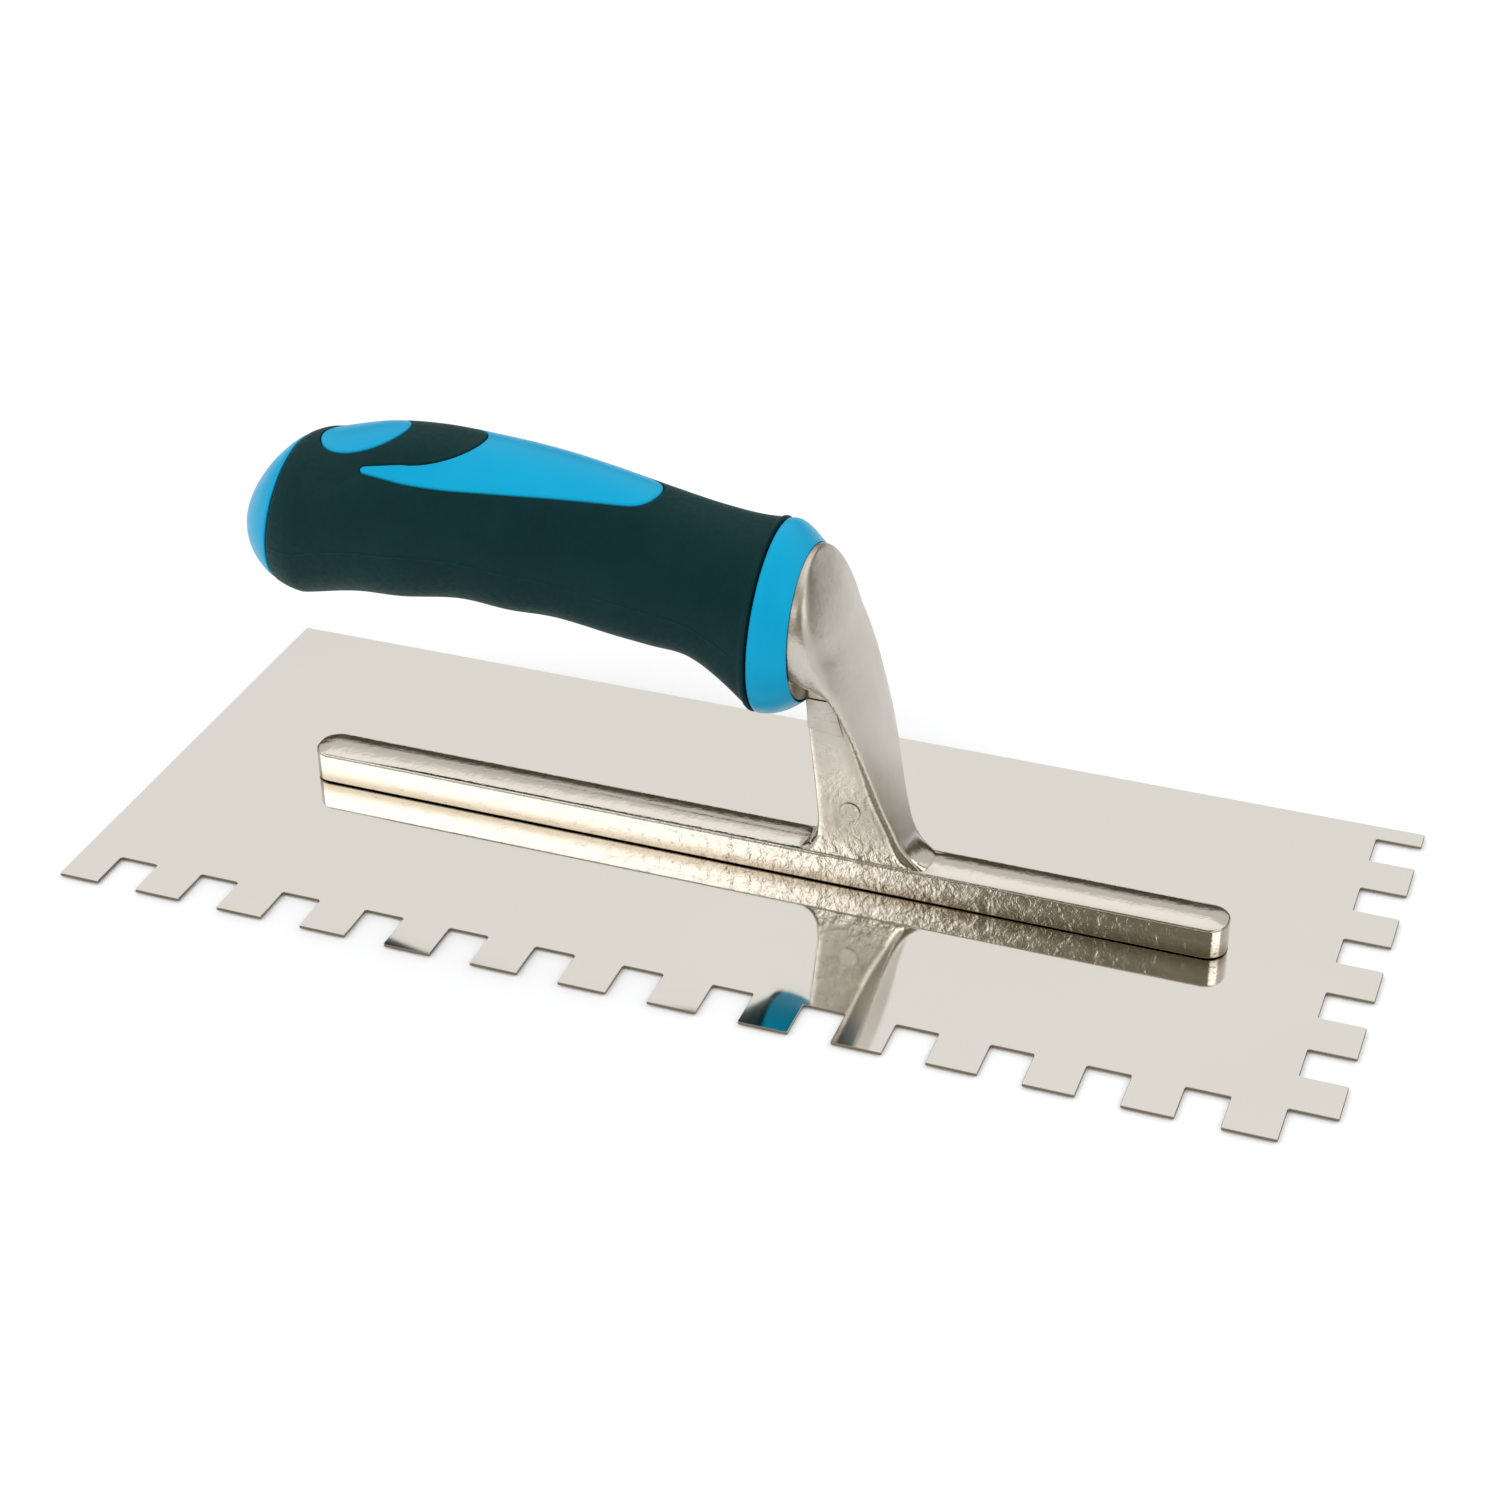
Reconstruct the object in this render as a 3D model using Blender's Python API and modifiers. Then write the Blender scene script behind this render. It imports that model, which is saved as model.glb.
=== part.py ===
"""Notched trowel: a flat toothed blade, a cast mount with an upright shank, and a two-colour handle.

Frame: origin at the centre of the blade's underside, +X along the blade towards the notched short edge,
the notched long edge at -Y, +Z up. Metres. The handle lies over the blade's centre line.
"""

import math

import bmesh
import bpy
import numpy as np
from mathutils import Matrix, Vector

MM = 0.001

# Blade
BLADE_LENGTH = 280.0 * MM
BLADE_WIDTH = 115.0 * MM
BLADE_THICKNESS = 0.7 * MM
TOOTH_PITCH = 20.0 * MM
NOTCH_DEPTH = 10.0 * MM
NOTCH_WIDTH = 9.2 * MM
FRONT_NOTCHES = 13
FRONT_FIRST_NOTCH = 9.5 * MM
SIDE_NOTCHES = 5
SIDE_FIRST_NOTCH = 20.7 * MM
CORNER_CUT = 10.1 * MM

# Cast mount
FIT_GAP = 0.3 * MM
BAR_LENGTH = 213.0 * MM
BAR_WIDTH = 10.0 * MM
BAR_CENTRE_X = 1.0 * MM
BAR_BASE_Z = BLADE_THICKNESS + FIT_GAP
BAR_SIDE_HEIGHT = 6.9 * MM
BAR_CROWN = 1.4 * MM
BAR_END_RADIUS = 4.4 * MM
WEB_THICKNESS = 8.4 * MM
BORE_Z = 67.0 * MM
TANG_END_X = -60.0 * MM
TANG_FRONT_X = 14.0 * MM
TANG_CORNER = 1.0 * MM
TANG_HEIGHT = 12.0 * MM
TANG_WIDTH = 9.0 * MM

# Rivets
RIVET_COUNT = 7
RIVET_PITCH = 30.0 * MM
RIVET_RADIUS = 2.0 * MM
RIVET_HEAD_RADIUS = 3.4 * MM
RIVET_HEAD_DEPTH = 1.4 * MM
RIVET_TOP_Z = 6.0 * MM
RIVET_BELOW = 0.05 * MM
RIVET_EDGE_BREAK = 0.2 * MM

# Handle
SEAM_X = -104.6 * MM
COLLAR_X = 6.0 * MM
TAIL_CENTRE_X = -98.0 * MM
TAIL_LENGTH = 18.2 * MM
TAIL_POWER = 1.7
GRIP_WALL = 2.6 * MM
CORE_REAR_X = -104.0 * MM
HANDLE_RING = 32
SCREW_RADIUS = 2.4 * MM
SCREW_HEAD_RADIUS = 4.3 * MM
SCREW_HEAD_HEIGHT = 4.5 * MM
SOCKET_RADIUS = 2.3 * MM
SOCKET_DEPTH = 2.5 * MM
SCREW_SEAT_X = -88.0 * MM
SCREW_TIP_X = -46.0 * MM
COUNTERBORE_RADIUS = 9.0 * MM
WASHER_THICKNESS = 1.2 * MM
WASHER_RADIUS = 7.0 * MM
CAP_WALL = 2.6 * MM
CAP_SPIGOT_LENGTH = 8.0 * MM
CAP_SPIGOT_DEPTH = 6.8 * MM
CAP_SPIGOT_WALL = 1.8 * MM
MOUTH_GAP = 0.45 * MM
POCKET_FRONT_X = 20.0 * MM
ISLAND_PRISM_HEIGHT = 30.0 * MM
ISLAND_PRISM_Z = 91.0 * MM

# How far a cutter reaches past the face it opens.
OVERCUT = 1.0 * MM

# The handle in mm: (x, height) along its top and its underside, and (x, half width) in plan.
TOP_LINE = [
    (-98, 88.5),
    (-86, 91.7),
    (-74, 93.0),
    (-60, 92.5),
    (-48, 91.6),
    (-34, 89.4),
    (-20, 86.8),
    (-8, 84.7),
    (1, 84.0),
    (6, 84.3),
]
UNDER_LINE = [
    (-98, 50.4),
    (-84, 53.2),
    (-75, 53.6),
    (-59, 55.8),
    (-48, 55.0),
    (-39, 55.3),
    (-23, 53.1),
    (-17, 52.4),
    (-8, 51.4),
    (0, 46.2),
    (6, 40.7),
]
HALF_WIDTH_LINE = [
    (-98, 17.3),
    (-85, 17.5),
    (-60, 16.8),
    (-35, 16.1),
    (-14, 15.5),
    (-4, 16.0),
    (6, 17.7),
]
TAIL_TIP_Z = 66.5

# How far the top of a section leans forward for each mm of height, at places x in mm along the handle.
LEAN_LINE = [(-98, 0.15), (-14, 0.14), (6, 0.07), (14.5, 0.0)]

# The collar's neck inside the grip in mm: height of centre, half height, half width.
COLLAR_NECK = (63.9, 17.0, 13.0)

# The two islands seen from above in mm: an oval, and a swallow-tail from its nose back to a tail point.
OVAL_CENTRE_X = -86.2
OVAL_HALF_LENGTH = 10.2
OVAL_HALF_WIDTH = 7.8
OVAL_STEPS = 28
TAIL_BAY_CENTRE_X = -73.4
TAIL_BAY_LENGTH = 15.2
TAIL_BAY_HALF_WIDTH = 10.1
TAIL_BAY_STEPS = 8
TAIL_SIDE = [
    (-18.6, 0.0),
    (-20.2, 4.3),
    (-23.5, 6.3),
    (-30, 7.9),
    (-40, 9.8),
    (-50, 11.3),
    (-62, 12.5),
    (-71.5, 12.7),
    (-77.5, 12.2),
    (-82.0, 11.2),
]

# The web's outline seen from the side in mm, as (x, height): foot, rear side, top, front side and foot.
WEB_OUTLINE = [
    (9.8, 6.3),
    (12.4, 8.2),
    (15.2, 9.5),
    (17.1, 12.0),
    (17.8, 16.6),
    (14.6, 46.6),
    (15.4, 49.6),
    (22.0, 49.6),
    (31.2, 29.5),
    (35.2, 16.5),
    (37.5, 11.8),
    (40.4, 9.0),
    (45.3, 6.3),
]

# The collar in mm: (x, height of centre, half height, half width).
COLLAR_RINGS = [
    (6.3, 62.5, 21.3, 17.3),
    (6.9, 62.6, 21.8, 17.8),
    (8.6, 62.7, 21.6, 17.8),
    (10.6, 62.4, 20.6, 17.4),
    (12.8, 62.3, 18.8, 16.7),
    (14.5, 61.9, 16.6, 15.9),
]

# The shank's outer flange in mm, as rings: x and z of its side edge, half width, lean of the outward
# direction in degrees, how far the outer face stands out from the side edge, and the inner face in.
FLANGE_RINGS = [
    (11.0, 61.9, 14.6, 88, 15.3, 15.3),
    (14.2, 61.9, 14.9, 88, 15.7, 15.6),
    (15.7, 62.0, 15.5, 82, 17.3, 15.0),
    (16.3, 62.6, 15.6, 66, 11.0, 6.0),
    (17.7, 61.4, 15.7, 46, 7.0, 6.0),
    (19.7, 58.8, 15.4, 29, 5.0, 7.0),
    (22.5, 54.2, 14.6, 19, 3.7, 6.0),
    (26.3, 45.8, 12.7, 15, 2.6, 6.0),
    (29.9, 34.5, 10.5, 13, 2.1, 5.6),
    (32.6, 24.3, 7.9, 12, 1.4, 5.0),
    (34.5, 17.5, 6.1, 13, 1.2, 4.6),
    (36.2, 12.1, 5.1, 20, 0.9, 4.4),
    (39.0, 6.9, 4.3, 35, 0.7, 4.0),
]


def clear_scene():
    for obj in list(bpy.data.objects):
        bpy.data.objects.remove(obj)


def new_collection(name):
    collection = bpy.data.collections.new(name)
    bpy.context.scene.collection.children.link(collection)
    return collection


def material(name, colour, roughness, metallic):
    made = bpy.data.materials.new(name)
    made.use_nodes = True
    shader = made.node_tree.nodes["Principled BSDF"]
    shader.inputs["Base Color"].default_value = (*colour, 1.0)
    shader.inputs["Roughness"].default_value = roughness
    shader.inputs["Metallic"].default_value = metallic
    return made


def add_object(name, mesh, collection):
    obj = bpy.data.objects.new(name, mesh)
    collection.objects.link(obj)
    return obj


def add_bmesh(name, bm, collection):
    mesh = bpy.data.meshes.new(name)
    bmesh.ops.recalc_face_normals(bm, faces=bm.faces)
    bm.to_mesh(mesh)
    bm.free()
    return add_object(name, mesh, collection)


def as_cutter(obj):
    obj.hide_render = True
    obj.display_type = "WIRE"
    return obj


def boolean(obj, other, operation):
    modifier = obj.modifiers.new(f"{operation.lower()}_{other.name}", "BOOLEAN")
    modifier.operation = operation
    modifier.solver = "EXACT"
    modifier.object = other


def smooth_round(obj, angle=math.radians(35)):
    obj.data.shade_smooth()
    obj.data.set_sharp_from_angle(angle=angle)


def loft(name, rings, collection):
    """A closed solid through rings of the same number of points, with a flat cap at each end."""
    bm = bmesh.new()
    loops = [[bm.verts.new(point) for point in ring] for ring in rings]
    count = len(rings[0])
    for low, high in zip(loops, loops[1:]):
        for i in range(count):
            j = (i + 1) % count
            bm.faces.new((low[i], low[j], high[j], high[i]))
    bm.faces.new(loops[0])
    bm.faces.new(loops[-1])
    return add_bmesh(name, bm, collection)


def flat_plate(name, outline, thickness, collection):
    """A 2D outline in the XY plane, thickened about z = 0, as a mesh object."""
    curve = bpy.data.curves.new(name, "CURVE")
    curve.dimensions = "2D"
    curve.fill_mode = "BOTH"
    curve.extrude = thickness / 2
    spline = curve.splines.new("POLY")
    spline.points.add(len(outline) - 1)
    for point, (x, y) in zip(spline.points, outline):
        point.co = (x, y, 0.0, 1.0)
    spline.use_cyclic_u = True
    drawn = add_object(name + "_outline", curve, collection)
    bpy.context.view_layer.update()
    graph = bpy.context.evaluated_depsgraph_get()
    mesh = bpy.data.meshes.new_from_object(drawn.evaluated_get(graph))
    bpy.data.objects.remove(drawn)
    bm = bmesh.new()
    bm.from_mesh(mesh)
    bmesh.ops.remove_doubles(bm, verts=bm.verts, dist=1e-6)
    bmesh.ops.recalc_face_normals(bm, faces=bm.faces)
    bm.to_mesh(mesh)
    bm.free()
    return add_object(name, mesh, collection)


def rod(name, radius, start_x, end_x, collection, segments=24):
    """A cylinder along the handle's bore."""
    bm = bmesh.new()
    centre = Vector(((start_x + end_x) / 2, 0.0, BORE_Z))
    bmesh.ops.create_cone(
        bm,
        cap_ends=True,
        segments=segments,
        radius1=radius,
        radius2=radius,
        depth=end_x - start_x,
        matrix=Matrix.Translation(centre) @ Matrix.Rotation(math.pi / 2, 4, "Y"),
    )
    return add_bmesh(name, bm, collection)


def box(name, start_x, end_x, width, height, centre_z, collection):
    """A square-cornered bar along X."""
    bm = bmesh.new()
    bmesh.ops.create_cube(bm, size=1.0)
    bmesh.ops.scale(bm, vec=(end_x - start_x, width, height), verts=bm.verts)
    bmesh.ops.translate(bm, vec=((start_x + end_x) / 2, 0.0, centre_z), verts=bm.verts)
    return add_bmesh(name, bm, collection)


def along(line, x):
    """Height of a smooth curve through the points of line at x, with Catmull-Rom slopes. All in mm."""
    xs = [point[0] for point in line]
    ys = [point[1] for point in line]
    slopes = np.gradient(ys, xs)
    x = min(max(x, xs[0]), xs[-1])
    i = min(max(int(np.searchsorted(xs, x)) - 1, 0), len(xs) - 2)
    span = xs[i + 1] - xs[i]
    t = (x - xs[i]) / span
    start = (1 + 2 * t) * (1 - t) ** 2 * ys[i] + t * (1 - t) ** 2 * span * slopes[i]
    end = t * t * (3 - 2 * t) * ys[i + 1] + t * t * (t - 1) * span * slopes[i + 1]
    return start + end


def oval_ring(x, centre_z, half_height, half_width, count=HANDLE_RING):
    """A ring round the handle whose top leans forward. In mm, gives metres."""
    lean = along(LEAN_LINE, x)
    points = []
    for i in range(count):
        angle = 2 * math.pi * i / count
        up = half_height * math.sin(angle)
        out = half_width * math.cos(angle)
        points.append(Vector((x + lean * up, out, centre_z + up)) * MM)
    return points


def handle_ring(x, inset=0.0):
    """The handle's section at x (mm), moved inwards by inset (mm)."""
    tail_x = TAIL_CENTRE_X / MM
    at = max(x, tail_x)
    top = along(TOP_LINE, at)
    under = along(UNDER_LINE, at)
    centre = (top + under) / 2
    half_height = (top - under) / 2
    half_width = along(HALF_WIDTH_LINE, at)
    if x < tail_x:
        share = (tail_x - x) / (TAIL_LENGTH / MM)
        size = (1 - share**TAIL_POWER) ** (1 / TAIL_POWER)
        centre += (TAIL_TIP_Z - centre) * share**2
        half_height *= size
        half_width *= size
    return oval_ring(x, centre, half_height - inset, half_width - inset)


def handle_form(name, start, end, inset, collection, step=5.0):
    """The handle's shape between two places along its length, in mm, with one shared ring spacing."""
    inner = np.arange(math.ceil((start + 1.0) / step), math.floor((end - 1.0) / step) + 1) * step
    places = [start, *inner, end]
    return loft(name, [handle_ring(x, inset) for x in places], collection)


def tail_form(name, start_share, end_x, inset, collection):
    """The handle's rounded rear end. start_share says how near its first ring is to the tip at 1."""
    tail_x = TAIL_CENTRE_X / MM
    turns = np.linspace(math.asin(start_share), math.asin((tail_x - end_x) / (TAIL_LENGTH / MM)), 7)
    places = [tail_x - math.sin(turn) * TAIL_LENGTH / MM for turn in turns]
    return loft(name, [handle_ring(x, inset) for x in places], collection)


def blade_outline():
    """Anticlockwise from the front left corner: toothed front edge, cut corner, toothed side edge."""
    left = -BLADE_LENGTH / 2
    right = BLADE_LENGTH / 2
    front = -BLADE_WIDTH / 2
    back = BLADE_WIDTH / 2
    points = [(left, front)]
    for i in range(FRONT_NOTCHES):
        start = left + FRONT_FIRST_NOTCH + i * TOOTH_PITCH
        end = start + NOTCH_WIDTH
        root = front + NOTCH_DEPTH
        points += [(start, front), (start, root), (end, root), (end, front)]
    cut_x = right - CORNER_CUT
    cut_y = front + CORNER_CUT
    points += [(cut_x, front), (cut_x, cut_y), (right, cut_y)]
    for i in range(SIDE_NOTCHES):
        start = front + SIDE_FIRST_NOTCH + i * TOOTH_PITCH
        end = start + NOTCH_WIDTH
        root = right - NOTCH_DEPTH
        points += [(right, start), (root, start), (root, end), (right, end)]
    points += [(right, back), (left, back)]
    return points


def rivet_places():
    first = BAR_CENTRE_X - RIVET_PITCH * (RIVET_COUNT - 1) / 2
    return [first + i * RIVET_PITCH for i in range(RIVET_COUNT)]


def rivet_profile(grow):
    """Half outline of a countersunk rivet, top to bottom: (radius, z). grow widens it into its hole."""
    shank = RIVET_RADIUS + grow
    head = RIVET_HEAD_RADIUS + grow
    bottom = RIVET_BELOW - (OVERCUT if grow else 0.0)
    return [
        (0.0, RIVET_TOP_Z + grow),
        (shank, RIVET_TOP_Z + grow),
        (shank, RIVET_HEAD_DEPTH + grow),
        (head, RIVET_BELOW),
        (head, bottom) if grow else (head - RIVET_EDGE_BREAK, bottom),
        (0.0, bottom),
    ]


def turned(name, profile, collection, steps=16):
    """A profile of (radius, z) turned about Z with a Screw modifier."""
    bm = bmesh.new()
    verts = [bm.verts.new((radius, 0.0, z)) for radius, z in profile]
    for a, b in zip(verts, verts[1:]):
        bm.edges.new((a, b))
    mesh = bpy.data.meshes.new(name)
    bm.to_mesh(mesh)
    bm.free()
    obj = add_object(name, mesh, collection)
    screw = obj.modifiers.new("turn", "SCREW")
    screw.steps = steps
    screw.render_steps = steps
    screw.use_merge_vertices = True
    screw.merge_threshold = 0.00001
    screw.use_smooth_shade = True
    return obj


def make_rivets(parts, cutters, finish):
    rivets = []
    holes = []
    for i, x in enumerate(rivet_places()):
        rivet = turned(f"rivet_{i + 1}", rivet_profile(0.0), parts)
        rivet.location.x = x
        rivet.data.materials.append(finish)
        rivets.append(rivet)
        hole = as_cutter(turned(f"rivet_hole_{i + 1}", rivet_profile(FIT_GAP), cutters))
        hole.location.x = x
        holes.append(hole)
    return rivets, holes


def make_blade(parts, holes, finish):
    blade = flat_plate("blade", blade_outline(), BLADE_THICKNESS, parts)
    blade.location.z = BLADE_THICKNESS / 2
    blade.data.materials.append(finish)
    for hole in holes:
        boolean(blade, hole, "DIFFERENCE")
    return blade


def bar_ring(z, inset):
    """Plan outline of the bar at height z: straight sides and corners rounded almost to a half circle."""
    radius = BAR_END_RADIUS - inset
    half_length = BAR_LENGTH / 2 - BAR_END_RADIUS
    half_width = BAR_WIDTH / 2 - BAR_END_RADIUS
    corner_steps = 6
    points = []
    for turn, (sx, sy) in enumerate([(1, 1), (-1, 1), (-1, -1), (1, -1)]):
        for i in range(corner_steps + 1):
            angle = (turn + i / corner_steps) * math.pi / 2
            x = BAR_CENTRE_X + sx * half_length + radius * math.cos(angle)
            y = sy * half_width + radius * math.sin(angle)
            points.append(Vector((x, y, z)))
    return points


def make_bar(cutters):
    """The straight bar: upright sides, a soft edge and a low crown along the top."""
    side_top = BAR_BASE_Z + BAR_SIDE_HEIGHT
    rings = [bar_ring(BAR_BASE_Z, 0.0), bar_ring(side_top, 0.0)]
    for share in (0.25, 0.6, 0.95):
        inset = share * (BAR_END_RADIUS - 0.3 * MM)
        rings.append(bar_ring(side_top + BAR_CROWN * math.sin(share * math.pi / 2), inset))
    return loft("bar", rings, cutters)


def make_web(cutters):
    """The upright web between bar and flange, with a rounded foot on both sides."""
    outline = [(x * MM, z * MM) for x, z in reversed(WEB_OUTLINE)]
    web = flat_plate("web", outline, WEB_THICKNESS, cutters)
    web.rotation_euler.x = math.pi / 2
    return web


def flange_ring(x, z, half_width, lean, stand_out, stand_in):
    """One closed ring of the flange: crowned outer face, rounded side edges, flatter inner face."""
    out = Vector((math.cos(math.radians(lean)), 0.0, math.sin(math.radians(lean))))
    middle = Vector((x, 0.0, z))
    points = []
    for i in range(HANDLE_RING):
        angle = 2 * math.pi * i / HANDLE_RING
        side = Vector((0.0, half_width * math.cos(angle), 0.0))
        reach = stand_out if math.sin(angle) >= 0 else stand_in
        points.append((middle + side + out * reach * math.sin(angle)) * MM)
    return points


def make_tang(cutters):
    """The tang: a square bar along the handle's bore, with its corners broken."""
    tang = box("tang", TANG_END_X, TANG_FRONT_X, TANG_WIDTH, TANG_HEIGHT, BORE_Z, cutters)
    bevel = tang.modifiers.new("broken_corners", "BEVEL")
    bevel.width = TANG_CORNER
    bevel.segments = 1
    return tang


def make_mount(parts, cutters, holes, finish):
    mount = make_bar(parts)
    mount.name = "mount_casting"
    flange = loft("flange", [flange_ring(*ring) for ring in FLANGE_RINGS], cutters)
    thread_start = TANG_END_X - OVERCUT
    thread_end = SCREW_TIP_X + 2 * MM
    tapped = rod("tang_thread", SCREW_RADIUS + FIT_GAP, thread_start, thread_end, cutters)
    for piece in (make_web(cutters), flange, make_tang(cutters)):
        boolean(mount, as_cutter(piece), "UNION")
    for hole in [as_cutter(tapped), *holes]:
        boolean(mount, hole, "DIFFERENCE")
    mount.data.materials.append(finish)
    smooth_round(mount)
    return mount


def oval_outline(grow):
    """Plan outline of the rear island."""
    half_length = OVAL_HALF_LENGTH * MM + grow
    half_width = OVAL_HALF_WIDTH * MM + grow
    points = []
    for i in range(OVAL_STEPS):
        turn = 2 * math.pi * i / OVAL_STEPS
        x = OVAL_CENTRE_X * MM + half_length * math.cos(turn)
        points.append((x, half_width * math.sin(turn)))
    return points


def swallow_tail_outline(grow):
    """Plan outline of the long island: two rear points round a half-oval bay, and a round nose."""
    bay = []
    for i in range(TAIL_BAY_STEPS):
        turn = math.pi / 2 * (1 - i / TAIL_BAY_STEPS)
        x = TAIL_BAY_CENTRE_X + TAIL_BAY_LENGTH * math.cos(turn)
        bay.append((x, TAIL_BAY_HALF_WIDTH * math.sin(turn)))
    bay_end = [(TAIL_BAY_CENTRE_X + TAIL_BAY_LENGTH, 0.0)]
    left = TAIL_SIDE + bay
    right = [(x, -y) for x, y in left[:0:-1]]
    outline = [(x * MM, y * MM) for x, y in left + bay_end + right]
    return offset_outline(outline, grow)


def offset_outline(outline, grow):
    """Moves each corner of an anticlockwise outline outwards by grow, square to its two sides."""
    if not grow:
        return outline
    moved = []
    for i, here in enumerate(outline):
        before = Vector(here) - Vector(outline[i - 1])
        after = Vector(outline[(i + 1) % len(outline)]) - Vector(here)
        normal_before = Vector((before.y, -before.x)).normalized()
        normal_after = Vector((after.y, -after.x)).normalized()
        both = (normal_before + normal_after).normalized()
        reach = min(grow / max(both.dot(normal_after), 0.2), 2.5 * grow)
        moved.append(tuple(Vector(here) + both * reach))
    return moved


def island_prism(name, outline, collection):
    prism = flat_plate(name, outline, ISLAND_PRISM_HEIGHT, collection)
    prism.location.z = ISLAND_PRISM_Z
    return as_cutter(prism)


def make_core(parts, cutters, finish):
    """The hard core: a body inside the grip, the collar in front and two islands up to the surface."""
    inset = (GRIP_WALL + FIT_GAP) / MM
    core = handle_form("handle_core", CORE_REAR_X / MM, 4.2, inset, parts)
    necks = [oval_ring(x, *COLLAR_NECK) for x in (2.6, COLLAR_RINGS[0][0])]
    collar = loft("collar", necks + [oval_ring(*ring) for ring in COLLAR_RINGS], cutters)
    boolean(core, as_cutter(collar), "UNION")
    outlines = {"oval_island": oval_outline(0.0), "swallow_tail_island": swallow_tail_outline(0.0)}
    for name, outline in outlines.items():
        island = handle_form(name, SEAM_X / MM, 0.0, 0.0, cutters)
        boolean(island, island_prism(name + "_prism", outline, cutters), "INTERSECT")
        boolean(core, as_cutter(island), "UNION")
    boolean(core, make_core_hollow(cutters), "DIFFERENCE")
    core.data.materials.append(finish)
    smooth_round(core)
    return core


def make_core_hollow(cutters):
    """The core's hollows: the tang's pocket, the screw's bore, its seat and the shank's mouth."""
    pocket_start = TANG_END_X - 5 * FIT_GAP
    pocket_width = TANG_WIDTH + 2 * FIT_GAP
    pocket_height = TANG_HEIGHT + 2 * FIT_GAP
    size = (pocket_width, pocket_height, BORE_Z)
    hollow = box("tang_pocket", pocket_start, POCKET_FRONT_X, *size, cutters)
    bore_start = SCREW_SEAT_X - OVERCUT
    bore_end = TANG_END_X + OVERCUT
    bore = rod("screw_bore", SCREW_RADIUS + FIT_GAP, bore_start, bore_end, cutters)
    seat_start = CORE_REAR_X - 10 * OVERCUT
    seat = rod("screw_seat", COUNTERBORE_RADIUS + FIT_GAP, seat_start, SCREW_SEAT_X, cutters)
    grow = MOUTH_GAP / MM
    first = FLANGE_RINGS[0]
    last = FLANGE_RINGS[1]
    mouth_rings = []
    for ring, shift in ((first, -0.6), (first, 0.0), (last, 0.0), (last, 3.0)):
        x, z, half_width, lean, stand_out, stand_in = ring
        reach = (half_width + grow, lean, stand_out + grow, stand_in + grow)
        mouth_rings.append(flange_ring(x + shift, z, *reach))
    mouth = loft("shank_mouth", mouth_rings, cutters)
    for piece in (bore, seat, mouth):
        boolean(hollow, as_cutter(piece), "UNION")
    return as_cutter(hollow)


def make_grip(parts, cutters, finish):
    """The soft grip: a sleeve open at both ends, with a window for each island."""
    start = (SEAM_X + FIT_GAP / 2) / MM
    grip = handle_form("grip", start, (COLLAR_X - FIT_GAP / 2) / MM, 0.0, parts)
    inside = handle_form("grip_inside", start - 3.0, COLLAR_X / MM, GRIP_WALL / MM, cutters)
    boolean(grip, as_cutter(inside), "DIFFERENCE")
    centre_z, half_height, half_width = COLLAR_NECK
    grow = FIT_GAP / MM
    mouth_rings = [oval_ring(x, centre_z, half_height + grow, half_width + grow) for x in (2.2, 8.0)]
    mouth = loft("grip_mouth", mouth_rings, cutters)
    boolean(grip, as_cutter(mouth), "DIFFERENCE")
    windows = (
        island_prism("oval_window", oval_outline(FIT_GAP), cutters),
        island_prism("swallow_tail_window", swallow_tail_outline(FIT_GAP), cutters),
    )
    for window in windows:
        boolean(grip, window, "DIFFERENCE")
    grip.data.materials.append(finish)
    smooth_round(grip)
    return grip


def make_end_cap(parts, cutters, finish):
    """The rear cap: a hollow dome with a tubular spigot that presses into the screw's seat."""
    front = (SEAM_X - FIT_GAP / 2) / MM
    cap = tail_form("end_cap", 0.985, front, 0.0, parts)
    hollow = tail_form("cap_hollow", 0.70, front + 1.5, CAP_WALL / MM, cutters)
    boolean(cap, as_cutter(hollow), "DIFFERENCE")
    spigot_rear = SEAM_X - CAP_SPIGOT_DEPTH
    spigot_front = SEAM_X + CAP_SPIGOT_LENGTH
    spigot = rod("cap_spigot", COUNTERBORE_RADIUS, spigot_rear, spigot_front, cutters)
    bore_start = spigot_rear + CAP_WALL
    bore_end = spigot_front + OVERCUT
    bore = rod("cap_spigot_bore", COUNTERBORE_RADIUS - CAP_SPIGOT_WALL, bore_start, bore_end, cutters)
    boolean(cap, as_cutter(spigot), "UNION")
    boolean(cap, as_cutter(bore), "DIFFERENCE")
    cap.data.materials.append(finish)
    smooth_round(cap)
    return cap


def make_screw(parts, cutters, finish):
    """A socket-head screw: head at the rear, shank through the core into the tang."""
    head_front = SCREW_SEAT_X - WASHER_THICKNESS - 2 * FIT_GAP
    head_rear = head_front - SCREW_HEAD_HEIGHT
    head = rod("handle_screw", SCREW_HEAD_RADIUS, head_rear, head_front, parts)
    shank_start = head_front - OVERCUT
    shank = rod("screw_shank", SCREW_RADIUS, shank_start, SCREW_TIP_X, cutters, segments=16)
    socket_start = head_rear - OVERCUT
    socket_end = head_rear + SOCKET_DEPTH
    socket = rod("screw_socket", SOCKET_RADIUS, socket_start, socket_end, cutters, segments=6)
    boolean(head, as_cutter(shank), "UNION")
    boolean(head, as_cutter(socket), "DIFFERENCE")
    head.data.materials.append(finish)
    smooth_round(head)
    return head


def make_washer(parts, cutters, finish):
    front = SCREW_SEAT_X - FIT_GAP
    rear = front - WASHER_THICKNESS
    washer = rod("screw_washer", WASHER_RADIUS, rear, front, parts)
    hole = rod("washer_hole", SCREW_RADIUS + FIT_GAP, rear - OVERCUT, front + OVERCUT, cutters)
    boolean(washer, as_cutter(hole), "DIFFERENCE")
    washer.data.materials.append(finish)
    return washer


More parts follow.
